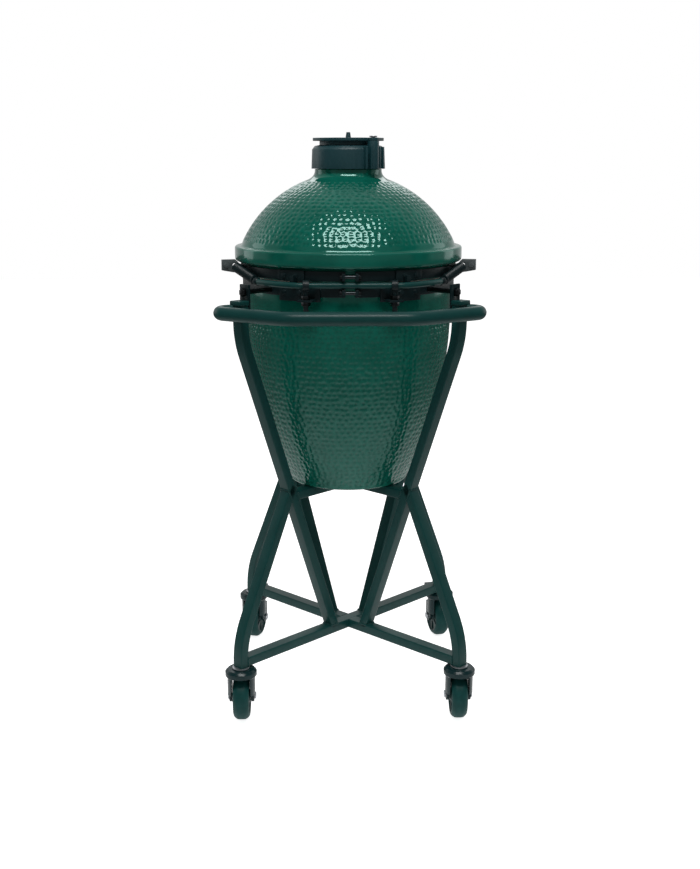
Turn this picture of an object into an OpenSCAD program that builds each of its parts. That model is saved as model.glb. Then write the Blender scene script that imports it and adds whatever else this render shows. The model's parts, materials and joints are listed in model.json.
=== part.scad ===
/* [Ceramic body] */
// Outer radius of the smooth collar at the rim of the base
collar_r = 218.5; // [210:0.5:225]
// Height of the base rim above the floor
rim_z = 918; // [912:1:924]
// Height of the underside of the base
base_z = 474; // [470:1:480]
// Radius of the arc that the base wall follows
base_arc_r = 810; // [780:10:900]
// Thickness of the ceramic walls
ceramic_t = 24; // [20:1:28]
// Outer radius of the dome
dome_r = 246.5; // [244:0.5:248]
// Height of the dome's centre
dome_z = 884; // [880:1:888]
// Outer radius of the lip round the lid
lip_r = 240; // [236:1:244]
// Radius of the chimney hole in the lid
chimney_r = 48; // [40:1:52]

/* [Stand] */
// Width of the stand tubes, across the radial plane
tube_w = 26; // [22:1:30]
// Depth of the stand tubes, in the radial plane
tube_d = 20; // [16:1:22]
// Wall thickness of the stand tubes
tube_wall = 2; // [1.5:0.5:3]
// Outer radius of the legs at the casters
leg_r = 334; // [328:1:340]
// Lean of the legs from the vertical
leg_lean = 25.6; // [24:0.1:27]
// Outer radius of the posts at their tops
post_r = 315.3; // [312:0.1:318]
// Lean of the posts from the vertical
post_lean = 20.5; // [19.5:0.1:21]
// Height of the post tops
post_top_z = 878; // [874:1:884]
// Radius of the push bar tube
push_bar_r = 14; // [12:1:15]

/* [Casters] */
// Radius of the wheels
wheel_r = 50; // [45:1:50]
// Width of the wheels
wheel_w = 36; // [32:1:36]
// Distance from the swivel axis back to the axle
trail = 14; // [8:1:18]
// Toe angle of the two front casters
front_toe = 13; // [0:1:20]

/* [Hinge] */
// Distance of the lid hinge axis behind the centre
hinge_y = -231; // [-234:1:-230]
// Height of the lid hinge axis
hinge_z = 917.5; // [917:0.5:918]
// Radius of the hinge bar
hinge_bar_r = 6; // [5:0.5:6]
// Sideways place of each eye bolt
eye_x = 87; // [84:1:90]

/* [Hidden] */
$fn = 96;
CORNERS = [["rear_left", 225], ["rear_right", 315], ["front_left", 135], ["front_right", 45]];

paint = "darkslategray";
glaze = "darkgreen";
steel = "silver";
stone = "tan";

// Clearance left where a welded tube end or a moving face meets its neighbour
weld_gap = 0.3;
running_gap = 0.05;
// Height above every piece, for cutters that run right through
above_all = 1200;

// Stand: the bends' centres are [radius, height] in the radial plane of each corner
foot_z = 122;
beam_h = 20;
leg_bend_r = 210;
leg_bend_c = [leg_r - leg_bend_r, 133];
leg_top_z = 490;
post_bend_r = 210;
post_bend_c = [post_r - post_bend_r, 845];
post_foot_z = foot_z + beam_h;
lower_beam_r = leg_r - tube_d - weld_gap;
upper_beam_z = base_z - beam_h;
leg_axis_r = leg_r - tube_d / 2;
cap_t = 9;
cap_margin = 5;
plate_t = 5;
plate_top_z = 918;

// Push bar path, seen from above, from one post round the rear to the other
push_bar_z = 862.5;
push_bar_start = [-212, -191.8];
push_bar_tuck = 24;
push_bar_hook_r = 20;
push_bar_slope = 33;
push_bar_side = 121;
push_bar_bend_r = 90;
push_bar_middle = 192.8;
bar_sides = 20;
bend_step = 12;

// Ceramic base, fire box and grid
wall_straight_z = 850;
wall_top_z = 848;
floor_z = 500;
boss_half = 76;
boss_z = [504, 574];
grate_z = 575;
fire_box_top_z = 760;
grid_z = 890;

// Bands and hinge
band_t = 6;
lower_band_z = 893;
upper_band_z = 925;
band_h = 19;
gasket_t = 2;
lid_z = rim_z + 2 * gasket_t;
skirt_r = 222;
lip_z = 950;
lip_h = 30;
lower_band_r = collar_r + 0.1 + band_t;
upper_band_r = skirt_r + 0.1 + band_t;
bracket_t = 4;
handle_y = 305;
handle_z = 946;
grip_r = 16;
handle_half = 100;
journal_x = 96;
bar_end = [187, -148.4, hinge_z];
lug_eye = [243, -76, 946];

// Chimney and vent
neck_r = 70;
neck_top_z = 1137;
spigot_r = 63;
spigot_top_z = 1155;
vent_z = 1138;
vent_pin_at = [50, -58];
vent_pin_r = 4;
vent_seat_z = 1194;

// Draft door
draft_y = 172;
draft_w = 88;
draft_low_z = 519;
draft_high_z = 561;
rail_low_z = 513;
rail_high_z = 567;

// Casters
fork_top_z = 118;
fork_gap = wheel_w / 2 + 2;
cheek_t = 6;
axle_r = 5;
pedal_y = 40;
pedal_z = 109;

function arc_points(centre, r, a0, a1, n = 8) =
    [for (i = [0:n]) centre + r * [cos(a0 + (a1 - a0) * i / n), sin(a0 + (a1 - a0) * i / n)]];
function reversed(list) = [for (i = [len(list) - 1:-1:0]) list[i]];
function wall_r(z) =
    z > wall_straight_z ? collar_r
    : collar_r - base_arc_r + sqrt(pow(base_arc_r, 2) - pow(wall_straight_z - z, 2));
// Radius of a post face at a height below its bend
function post_face_r(z, r) =
    post_bend_c[0] + r * cos(post_lean)
    - (post_bend_c[1] - r * sin(post_lean) - z) * tan(post_lean);
function leg_face(r, extra = 0) = concat(
    [[leg_bend_c[0] + r, foot_z - extra]],
    arc_points(leg_bend_c, r, 0, leg_lean),
    [[leg_bend_c[0] + r * cos(leg_lean)
        - (leg_top_z + extra - leg_bend_c[1] - r * sin(leg_lean)) * tan(leg_lean),
      leg_top_z + extra]]
);
function post_face(r, extra = 0) = concat(
    [[post_face_r(post_foot_z - extra, r), post_foot_z - extra]],
    arc_points(post_bend_c, r, -post_lean, 0),
    [[post_bend_c[0] + r, post_top_z + extra]]
);
function leg_outline(inset = 0) = concat(
    leg_face(leg_bend_r - inset, inset),
    reversed(leg_face(leg_bend_r - tube_d + inset, inset))
);
function post_outline(inset = 0) = concat(
    post_face(post_bend_r - inset, inset),
    reversed(post_face(post_bend_r - tube_d + inset, inset))
);

// A plate of width w in the radial plane, from an outline of [radius, height] points
module radial_plate(outline, w) {
    rotate([90, 0, 0]) translate([0, 0, -w / 2]) linear_extrude(w) polygon(outline);
}
module corner(angle) {
    rotate([0, 0, angle]) children();
}
module all_corners() {
    for (c = CORNERS) corner(c[1]) children();
}
module both_sides() {
    for (side = [0, 1]) mirror([side, 0, 0]) children();
}
// A ring about the vertical axis
module ring(r_in, r_out, z, h) {
    rotate_extrude() translate([r_in, z]) square([r_out - r_in, h]);
}
// Part of a ring, from one azimuth to another
module ring_part(r_in, r_out, z, h, from, to) {
    rotate([0, 0, from]) rotate_extrude(angle = to - from) translate([r_in, z]) square([r_out - r_in, h]);
}
module rod_between(a, b, r) {
    d = b - a;
    translate(a) rotate([0, acos(d[2] / norm(d)), atan2(d[1], d[0])]) cylinder(h = norm(d), r = r);
}
// A bolt head and shank along +X, with its seat at the origin
module bolt(head_r, head_h, shank_r, shank_l) {
    rotate([0, 90, 0]) cylinder(h = head_h, r = head_r, $fn = 6);
    rotate([0, -90, 0]) cylinder(h = shank_l, r = shank_r);
}
// Points and headings along a flat path of [straight length, turn, bend radius] steps
function stations(steps, at, heading, i = 0) =
    i == len(steps) ? [[at, heading]] :
    let (
        run = steps[i][0],
        turn = steps[i][1],
        bend = steps[i][2],
        from = at + run * [cos(heading), sin(heading)],
        centre = from + bend * [-sin(heading), cos(heading)],
        count = ceil(turn / bend_step),
        arc = [for (k = [0:count - 1]) let (a = heading + turn * k / count)
            [centre + bend * [sin(a), -cos(a)], a]],
        to = centre + bend * [sin(heading + turn), -cos(heading + turn)]
    )
    concat(run > 0 ? [[at, heading]] : [], arc, stations(steps, to, heading + turn, i + 1));
// A round bar swept along a flat path
module swept_bar(r, path) {
    last = (len(path) - 1) * bar_sides;
    polyhedron(
        points = [for (s = path) for (k = [0:bar_sides - 1]) let (a = 360 * k / bar_sides)
            [s[0][0] - r * cos(a) * sin(s[1]), s[0][1] + r * cos(a) * cos(s[1]), r * sin(a)]],
        faces = concat(
            [[for (k = [0:bar_sides - 1]) k]],
            [[for (k = [bar_sides - 1:-1:0]) last + k]],
            [for (i = [0:len(path) - 2]) for (k = [0:bar_sides - 1])
                let (next = (k + 1) % bar_sides, ring = i * bar_sides)
                [ring + k, ring + bar_sides + k, ring + bar_sides + next, ring + next]]
        )
    );
}

// ---- Stand ----
module stand_leg(angle) {
    color(paint) corner(angle) difference() {
        radial_plate(leg_outline(), tube_w);
        radial_plate(leg_outline(tube_wall), tube_w - 2 * tube_wall);
        radial_plate(concat(
            post_face(post_bend_r), [[-post_bend_r, post_top_z], [-post_bend_r, post_foot_z]]
        ), tube_w + 1);
    }
}
module stand_post(angle) {
    color(paint) corner(angle) difference() {
        radial_plate(post_outline(), tube_w);
        radial_plate(post_outline(tube_wall), tube_w - 2 * tube_wall);
    }
}
// The outline of a flat beam; an inset one runs past both ends, as the bore of a tube
function lower_outline(from, to, inset = 0) = [
    [from - inset, foot_z + inset], [to + inset, foot_z + inset],
    [to + inset, foot_z + beam_h - inset], [from - inset, foot_z + beam_h - inset]
];
function upper_outline(from, inset = 0) = [
    [from - inset, upper_beam_z + inset],
    [post_face_r(upper_beam_z + inset, post_bend_r - tube_d) + inset, upper_beam_z + inset],
    [post_face_r(base_z - inset, post_bend_r - tube_d) + inset, base_z - inset],
    [from - inset, base_z - inset]
];
module beam_tube(outline, bore) {
    difference() {
        radial_plate(outline, tube_w);
        radial_plate(bore, tube_w - 2 * tube_wall);
    }
}
module lower_beam(from, to) {
    beam_tube(lower_outline(from, to), lower_outline(from, to, tube_wall));
}
module lower_beam_long() {
    color(paint) corner(45) lower_beam(-lower_beam_r, lower_beam_r);
}
module lower_beam_halves() {
    color(paint) for (angle = [135, 315]) corner(angle) lower_beam(tube_w / 2, lower_beam_r);
}
module upper_beam(from) {
    beam_tube(upper_outline(from), upper_outline(from, tube_wall));
}
module upper_beam_long() {
    color(paint) for (angle = [45, 225]) corner(angle) upper_beam(0);
}
module upper_beam_halves() {
    color(paint) for (angle = [135, 315]) corner(angle) upper_beam(tube_w / 2);
}
module post_caps() {
    color(paint) all_corners()
        translate([post_r - tube_d, -tube_w / 2 - cap_margin / 2, post_top_z])
            cube([tube_d + cap_margin, tube_w + cap_margin, cap_t]);
}
module post_plate() {
    translate([post_r - tube_d - plate_t, -tube_w / 2, post_bend_c[1]])
        cube([plate_t, tube_w, plate_top_z - post_bend_c[1]]);
}
module post_plates() {
    clamp_bolt_z = lower_band_z + band_h / 2;
    color(paint) all_corners() difference() {
        post_plate();
        translate([post_r - tube_d - plate_t - 1, 0, clamp_bolt_z])
            rotate([0, 90, 0]) cylinder(h = plate_t + 2, r = 5);
    }
}
module clamp_bolts() {
    seat_r = post_r - tube_d;
    color(steel) all_corners() translate([seat_r, 0, lower_band_z + band_h / 2])
        bolt(8, 7, 5, seat_r - lower_band_r);
}
module push_bar() {
    hook = [push_bar_tuck, 180 - push_bar_slope, push_bar_hook_r];
    color(paint) difference() {
        translate([0, 0, push_bar_z]) swept_bar(push_bar_r, stations([
            hook,
            [push_bar_side, push_bar_slope, push_bar_bend_r],
            [push_bar_middle, push_bar_slope, push_bar_bend_r],
            [push_bar_side, 180 - push_bar_slope, push_bar_hook_r],
            [push_bar_tuck, 0, 0]
        ], push_bar_start, 180));
        for (angle = [225, 315]) corner(angle) {
            radial_plate(post_outline(), tube_w);
            post_plate();
        }
    }
}
module caster_stems() {
    color(steel) all_corners() translate([leg_axis_r, 0, 0]) {
        translate([0, 0, fork_top_z + 0.5]) cylinder(h = foot_z - fork_top_z - 0.5, r = 18);
        translate([0, 0, fork_top_z - 10]) cylinder(h = 30, r = 7);
    }
}

// ---- Ceramic base and what it holds ----
module base_shell() {
    edge = 8;
    tunnel_from_y = 60;
    boss_from_y = 100;
    side = [for (z = [base_z + edge:36:wall_top_z]) [wall_r(z), z]];
    inside = [for (z = [floor_z:42:wall_top_z]) [wall_r(z) - ceramic_t, z]];
    color(glaze) difference() {
        union() {
            rotate_extrude() polygon(concat(
                [[0, base_z]],
                arc_points([wall_r(base_z + edge) - edge, base_z + edge], edge, -90, -10, 5),
                side,
                [[collar_r - 1, wall_top_z], [collar_r, wall_top_z + 1], [collar_r, rim_z]],
                [[collar_r - ceramic_t, rim_z]],
                reversed(inside),
                [[0, floor_z]]
            ));
            difference() {
                translate([-boss_half, boss_from_y, boss_z[0]])
                    cube([2 * boss_half, draft_y - boss_from_y, boss_z[1] - boss_z[0]]);
                rotate_extrude() polygon(concat(
                    [[0, floor_z]],
                    [for (z = [floor_z:40:floor_z + 80]) [wall_r(z) - ceramic_t / 2, z]],
                    [[0, floor_z + 80]]
                ));
            }
        }
        translate([-draft_w / 2, tunnel_from_y, draft_low_z])
            cube([draft_w, draft_y, draft_high_z - draft_low_z]);
    }
}
module base_gasket() {
    color("ivory") ring(collar_r - ceramic_t + 2, collar_r - 2, rim_z, gasket_t);
}
module fire_box() {
    color(stone) difference() {
        rotate_extrude() polygon([
            [34, floor_z], [106, floor_z], [170, fire_box_top_z], [150, fire_box_top_z],
            [104, grate_z], [92, grate_z], [92, floor_z + 18], [34, floor_z + 18]
        ]);
        translate([-draft_w / 2, 0, draft_low_z]) cube([draft_w, 160, draft_high_z - draft_low_z]);
        for (angle = [30:60:330]) rotate([0, 0, angle]) translate([100, 0, 640]) rotate([0, 90, 0])
            cylinder(h = 80, r = 9);
    }
}
module fire_ring() {
    foot = fire_box_top_z + 0.1;
    color(stone) rotate_extrude() polygon([
        [152, foot], [174, foot], [187, foot + 30], [187, grid_z], [162, grid_z], [162, foot + 40]
    ]);
}
module fire_grate() {
    color("dimgray") translate([0, 0, grate_z]) difference() {
        cylinder(h = 8, r = 102);
        translate([0, 0, -1]) {
            cylinder(h = 10, r = 8);
            for (row = [0:2]) for (angle = [0:360 / (6 + 5 * row):359])
                rotate([0, 0, angle]) translate([30 + 27 * row, 0, 0]) cylinder(h = 10, r = 8);
        }
    }
}
module cooking_grid() {
    rim_r = 186;
    color(steel) {
        ring(rim_r - 6, rim_r, grid_z + 0.1, 8);
        for (x = [-171:19:171]) {
            half = sqrt(pow(rim_r - 3, 2) - x * x);
            translate([x, -half, grid_z + 5]) rotate([-90, 0, 0]) cylinder(h = 2 * half, r = 2.5);
        }
        for (y = [-60, 60]) {
            half = sqrt(pow(rim_r - 3, 2) - y * y);
            translate([-half, y - 2, grid_z + 0.1]) cube([2 * half, 4, 4]);
        }
    }
}

// ---- Bands and rear hinge ----
module clamp_ears(r, z) {
    for (x = [-16, 10]) translate([x, -r - 13, z + 2]) cube([6, 14, band_h - 5]);
}
module band(r_in, z) {
    r_out = r_in + band_t;
    difference() {
        union() {
            ring(r_in, r_out, z, band_h);
            difference() {
                clamp_ears(r_out, z);
                cylinder(h = above_all, r = r_out - 1);
            }
        }
        translate([-10, -r_out - 30, z - 1]) cube([20, 40, band_h + 2]);
        translate([-30, -r_out - 7, z + band_h / 2]) rotate([0, 90, 0]) cylinder(h = 60, r = 3.5);
    }
}
module band_bolt(r_out, z) {
    translate([16, -r_out - 7, z + band_h / 2]) bolt(6, 5, 3.5, 32);
    translate([-21, -r_out - 7, z + band_h / 2]) rotate([0, 90, 0]) cylinder(h = 5, r = 6, $fn = 6);
}
module lower_band() {
    color(paint) band(collar_r + 0.1, lower_band_z);
}
module lower_band_bolt() {
    color(steel) band_bolt(lower_band_r, lower_band_z);
}
module upper_band() {
    color(paint) band(skirt_r + 0.1, upper_band_z);
}
module upper_band_bolt() {
    color(steel) band_bolt(upper_band_r, upper_band_z);
}
module bracket_bolts(r, z, angles) {
    for (angle = angles) rotate([0, 0, angle - 90]) translate([r - weld_gap, 0, z]) bolt(5, 4, 3, 3);
}
module lower_hinge_brackets() {
    r = lower_band_r + 0.1;
    shelf_z = 886;
    plate_z = shelf_z - 2;
    color(paint) both_sides() {
        ring_part(r, r + bracket_t, plate_z, lower_band_z + band_h - plate_z, -75, -52);
        difference() {
            ring_part(r + 2, r + 34, shelf_z, 4, -73, -66);
            translate([eye_x, hinge_y, shelf_z - 1]) cylinder(h = 8, r = 5);
        }
        bracket_bolts(r + bracket_t, 901, [26, 35]);
    }
}
module eye_bolts() {
    color(paint) both_sides() difference() {
        union() {
            translate([eye_x - 6, hinge_y, hinge_z]) rotate([0, 90, 0]) cylinder(h = 12, r = 11);
            translate([eye_x, hinge_y, 866]) cylinder(h = hinge_z - 866 - 8, r = 5);
        }
        translate([eye_x - 7, hinge_y, hinge_z]) rotate([0, 90, 0])
            cylinder(h = 14, r = hinge_bar_r + running_gap);
    }
}
module eye_bolt_nuts() {
    color(steel) both_sides() for (z = [878, 890]) translate([eye_x, hinge_y, z]) difference() {
        cylinder(h = 8, r = 9, $fn = 6);
        translate([0, 0, -1]) cylinder(h = 10, r = 5);
    }
}
module upper_hinge_brackets() {
    r = upper_band_r + 0.1;
    color(paint) both_sides() {
        ring_part(r, r + bracket_t, upper_band_z - 1, band_h + 2, -67, -52);
        difference() {
            rotate([0, 0, -62]) translate([r + 1, -4, hinge_z - 2]) cube([16, 8, 20]);
            translate([0, 0, hinge_z]) bar_end_bend();
        }
        bracket_bolts(r + bracket_t, upper_band_z + 10, [27.5, 34]);
    }
}
// The bar's end beyond the straight journal: a bend, then a long arc that follows the bands
module bar_end_bend() {
    lap = 3;
    swept_bar(hinge_bar_r - 0.1, stations([[lap, 34, 30], [0, 25, 252]], [journal_x - lap, hinge_y], 0));
}
module hinge_bar() {
    color(paint) translate([0, 0, hinge_z]) {
        translate([-journal_x, hinge_y, 0]) rotate([0, 90, 0]) cylinder(h = 2 * journal_x, r = hinge_bar_r);
        both_sides() bar_end_bend();
    }
}
module spring_sleeves() {
    span = lug_eye - bar_end;
    color(paint) both_sides() difference() {
        union() {
            rod_between(bar_end, lug_eye - span * 0.12, 4);
            rod_between(bar_end + span * 0.08, bar_end + span * 0.82, 10);
            translate(bar_end) sphere(r = 9);
        }
        translate([0, 0, hinge_z]) bar_end_bend();
    }
}
module side_lugs() {
    angle = atan2(lug_eye[1], lug_eye[0]);
    eye_r = norm([lug_eye[0], lug_eye[1]]);
    color("gray") both_sides() rotate([0, 0, angle]) difference() {
        union() {
            radial_plate([
                [upper_band_r + 0.1, 926], [upper_band_r + 0.1, 944], [eye_r - 16, 948],
                [eye_r - 8, 956], [eye_r + 20, 956], [eye_r + 20, 934], [eye_r, 930]
            ], 8);
            translate([eye_r + 12, 0, 945]) rotate([90, 0, 0]) cylinder(h = 20, r = 5, center = true);
        }
        translate([eye_r - 6, 0, 944]) rotate([90, 0, 0]) cylinder(h = 30, r = 4, center = true);
    }
}

// ---- Draft opening at the front ----
module draft_frame() {
    half = 72;
    color(steel) difference() {
        union() {
            translate([-half, draft_y, rail_low_z - 5]) cube([2 * half, 3, rail_high_z - rail_low_z + 10]);
            for (z = [rail_low_z - 5, rail_high_z]) translate([-half, draft_y, z]) cube([2 * half, 11, 5]);
            translate([-half, draft_y + 9, rail_low_z - 5]) cube([2 * half, 2, 9]);
            translate([-half, draft_y + 9, rail_high_z - 4]) cube([2 * half, 2, 9]);
        }
        translate([-draft_w / 2, draft_y - 1, draft_low_z])
            cube([draft_w, 5, draft_high_z - draft_low_z]);
    }
}
module draft_screen() {
    color(steel) difference() {
        translate([-50, draft_y + 3, rail_low_z]) cube([100, 1.5, rail_high_z - rail_low_z]);
        for (x = [-41:8:41]) translate([x, draft_y, draft_low_z + 1])
            cube([4, 8, draft_high_z - draft_low_z - 2]);
    }
}
module draft_door() {
    color(steel) {
        translate([-56, draft_y + 5.5, rail_low_z + 0.3]) cube([112, 2.5, rail_high_z - rail_low_z - 0.6]);
        translate([-40, draft_y + 7, 540]) rotate([-90, 0, 0]) cylinder(h = 16, r = 5);
        translate([-40, draft_y + 21, 540]) rotate([-90, 0, 0]) cylinder(h = 6, r = 10);
    }
}

// ---- Lid ----
module lid_shell() {
    inner_r = dome_r - ceramic_t;
    neck_angle = acos(neck_r / dome_r);
    lip_angle = asin((lip_z + lip_h - dome_z) / dome_r);
    hole_angle = acos(chimney_r / inner_r);
    skirt_angle = asin((lip_z + 4 - dome_z) / inner_r);
    color(glaze) difference() {
        rotate_extrude() polygon(concat(
            [[skirt_r - ceramic_t, lid_z], [skirt_r, lid_z], [skirt_r, lip_z - 4]],
            [[lip_r - 3, lip_z], [lip_r, lip_z + 3], [lip_r, lip_z + lip_h - 6]],
            [[lip_r - 5, lip_z + lip_h]],
            arc_points([0, dome_z], dome_r, lip_angle, neck_angle, 14),
            [[neck_r, neck_top_z], [spigot_r, neck_top_z], [spigot_r, spigot_top_z]],
            [[chimney_r, spigot_top_z]],
            arc_points([0, dome_z], inner_r, hole_angle, skirt_angle, 14)
        ));
        thermometer_place() cylinder(h = 120, r = 5, center = true);
    }
}
module lid_gasket() {
    color("ivory") ring(collar_r - ceramic_t + 2, collar_r - 2, rim_z + gasket_t, gasket_t);
}
// Puts +Z along the dome's normal at the thermometer, with the origin on the dome
module thermometer_place() {
    translate([0, 0, dome_z]) rotate([-50, 0, 0]) translate([0, 0, dome_r]) children();
}
module thermometer_case() {
    color(steel) thermometer_place() {
        translate([0, 0, 2]) cylinder(h = 4, r = 20);
        translate([0, 0, 6]) cylinder(h = 16, r = 32);
    }
}
module thermometer_stem() {
    color(steel) thermometer_place() translate([0, 0, -75]) cylinder(h = 77, r = 4);
}
module handle_brackets() {
    r = upper_band_r + 0.1;
    color(paint) both_sides() {
        ring_part(r, r + bracket_t, upper_band_z, band_h, 56, 70);
        difference() {
            union() {
                translate([handle_half, 190, upper_band_z + 1]) cube([6, 90, band_h - 3]);
                translate([handle_half, handle_y, handle_z]) rotate([0, 90, 0])
                    cylinder(h = 6, r = grip_r + 2);
                translate([handle_half, 0, 0]) rotate([90, 0, 90]) linear_extrude(6) polygon([
                    [270, upper_band_z + 1], [handle_y, handle_z - grip_r - 2],
                    [handle_y, handle_z], [270, upper_band_z + band_h - 2]
                ]);
            }
            cylinder(h = above_all, r = r + 1);
        }
        translate([handle_half + 6, handle_y, handle_z]) bolt(7, 5, 4, 6);
    }
}
module handle_grip() {
    color("saddlebrown") translate([-handle_half, handle_y, handle_z]) rotate([0, 90, 0])
        cylinder(h = 2 * handle_half, r = grip_r);
}

// ---- Chimney vent ----
module vent_body() {
    color(paint) difference() {
        union() {
            rotate_extrude() polygon([
                [spigot_r + 0.5, vent_z], [77, vent_z], [75.5, 1177], [70, 1184], [60, 1186],
                [60, vent_seat_z], [chimney_r, vent_seat_z], [chimney_r, spigot_top_z + 1],
                [spigot_r + 0.5, spigot_top_z + 1]
            ]);
            difference() {
                union() {
                    translate([vent_pin_at[0], vent_pin_at[1], vent_z])
                        cylinder(h = vent_seat_z - vent_z, r = 12);
                    for (i = [-2:2]) rotate([0, 0, -49 + i * 8])
                        translate([70, -2, vent_z]) cube([16, 4, 44]);
                }
                translate([0, 0, vent_z - 1]) cylinder(h = 80, r = 66);
            }
        }
        translate([vent_pin_at[0], vent_pin_at[1], 1160]) cylinder(h = 60, r = vent_pin_r);
    }
}
module vent_pin() {
    color(steel) translate([vent_pin_at[0], vent_pin_at[1], 1160]) {
        cylinder(h = vent_seat_z + 7 - 1160, r = vent_pin_r);
        translate([0, 0, vent_seat_z + 7 - 1160]) cylinder(h = 3, r = 8);
    }
}
module vent_top_plate() {
    color(paint) {
        difference() {
            union() {
                translate([0, 0, vent_seat_z + 0.3]) cylinder(h = 6, r = 74);
                translate([vent_pin_at[0], vent_pin_at[1], vent_seat_z + 0.3]) cylinder(h = 6, r = 12);
            }
            translate([vent_pin_at[0], vent_pin_at[1], vent_seat_z - 1])
                cylinder(h = 10, r = vent_pin_r + running_gap);
        }
        translate([0, 0, vent_seat_z + 5]) cylinder(h = 13, r1 = 6, r2 = 4);
    }
}

// ---- Casters ----
// Stands at a corner's swivel axis, with +Y forward
module at_caster(angle) {
    toe = angle == 135 ? -front_toe : angle == 45 ? front_toe : 0;
    translate([leg_axis_r * cos(angle), leg_axis_r * sin(angle), 0]) rotate([0, 0, toe]) children();
}
module caster_fork(angle) {
    front = angle < 180;
    color(paint) at_caster(angle) {
        difference() {
            union() {
                rotate_extrude() polygon([
                    [0, 62], [29, 62], [29, 100], [33, 104], [33, 113], [28, fork_top_z], [0, fork_top_z]
                ]);
                for (side = [-1, 1]) translate([side * (fork_gap + cheek_t / 2), trail, 0]) {
                    translate([0, 0, wheel_r]) rotate([0, 90, 0])
                        cylinder(h = cheek_t, r = 13, center = true);
                    translate([0, -4, 68]) cube([cheek_t, 34, 36], center = true);
                }
            }
            translate([-fork_gap, -60, 0]) cube([2 * fork_gap, 140, wheel_r * 2 + 3]);
            translate([0, trail, wheel_r]) rotate([0, 90, 0]) cylinder(h = 100, r = axle_r, center = true);
            translate([0, 0, fork_top_z - 11]) cylinder(h = 20, r = 7 + running_gap);
        }
        if (front) {
            for (x = [-12, 8]) translate([x, 27, 104]) cube([4, pedal_y - 23, 10]);
            translate([-12, pedal_y, pedal_z]) rotate([0, 90, 0]) cylinder(h = 24, r = 2.5);
        }
    }
}
module caster_axle(angle) {
    reach = fork_gap + cheek_t;
    color(steel) at_caster(angle) translate([0, trail, wheel_r]) {
        rotate([0, 90, 0]) cylinder(h = 2 * reach, r = axle_r, center = true);
        for (side = [0, 1]) mirror([side, 0, 0]) translate([reach, 0, 0])
            rotate([0, 90, 0]) cylinder(h = 4, r = 8, $fn = 6);
    }
}
module caster_wheel(angle) {
    half = wheel_w / 2;
    color("black") at_caster(angle) translate([0, trail, wheel_r]) rotate([0, 90, 0]) rotate_extrude()
        polygon([
            [axle_r + running_gap, -half], [15, -half], [18, -half + 4], [36, -half + 4],
            [40, -half + 1], [44, -half + 1], [wheel_r, -half + 7], [wheel_r, half - 7],
            [44, half - 1], [40, half - 1], [36, half - 4], [18, half - 4], [15, half],
            [axle_r + running_gap, half]
        ]);
}
module brake_pedal(angle) {
    color(paint) at_caster(angle) difference() {
        union() {
            translate([-7.5, pedal_y, pedal_z]) rotate([0, 90, 0]) cylinder(h = 15, r = 5);
            translate([-5, pedal_y + 2, pedal_z - 3]) cube([10, 24, 6]);
            translate([-16, pedal_y + 20, pedal_z - 4]) cube([32, 14, 9]);
        }
        translate([-20, pedal_y, pedal_z]) rotate([0, 90, 0]) cylinder(h = 40, r = 2.5 + running_gap);
    }
}

stand_leg(225);  // stand_leg_rear_left
stand_leg(315);  // stand_leg_rear_right
stand_leg(135);  // stand_leg_front_left
stand_leg(45);  // stand_leg_front_right
stand_post(225);  // stand_post_rear_left
stand_post(315);  // stand_post_rear_right
stand_post(135);  // stand_post_front_left
stand_post(45);  // stand_post_front_right
lower_beam_long();
lower_beam_halves();
upper_beam_long();
upper_beam_halves();
post_caps();
post_plates();
clamp_bolts();
push_bar();
caster_stems();
base_shell();
base_gasket();
fire_box();
fire_ring();
fire_grate();
cooking_grid();
lower_band();
lower_band_bolt();
lower_hinge_brackets();
eye_bolts();
eye_bolt_nuts();
draft_frame();
draft_screen();
draft_door();
lid_shell();
lid_gasket();
upper_band();
upper_band_bolt();
upper_hinge_brackets();
hinge_bar();
spring_sleeves();
side_lugs();
handle_brackets();
handle_grip();
thermometer_case();
thermometer_stem();
vent_body();
vent_pin();
vent_top_plate();
caster_fork(225);  // caster_fork_rear_left
caster_fork(315);  // caster_fork_rear_right
caster_fork(135);  // caster_fork_front_left
caster_fork(45);  // caster_fork_front_right
caster_axle(225);  // caster_axle_rear_left
caster_axle(315);  // caster_axle_rear_right
caster_axle(135);  // caster_axle_front_left
caster_axle(45);  // caster_axle_front_right
caster_wheel(225);  // caster_wheel_rear_left
caster_wheel(315);  // caster_wheel_rear_right
caster_wheel(135);  // caster_wheel_front_left
caster_wheel(45);  // caster_wheel_front_right
brake_pedal(135);  // brake_pedal_left
brake_pedal(45);  // brake_pedal_right
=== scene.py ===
"""Looks of a kamado ceramic grill on its wheeled stand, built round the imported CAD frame."""

import json
import math

import bmesh
import bpy
import numpy as np
from mathutils import Matrix, Vector


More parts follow.
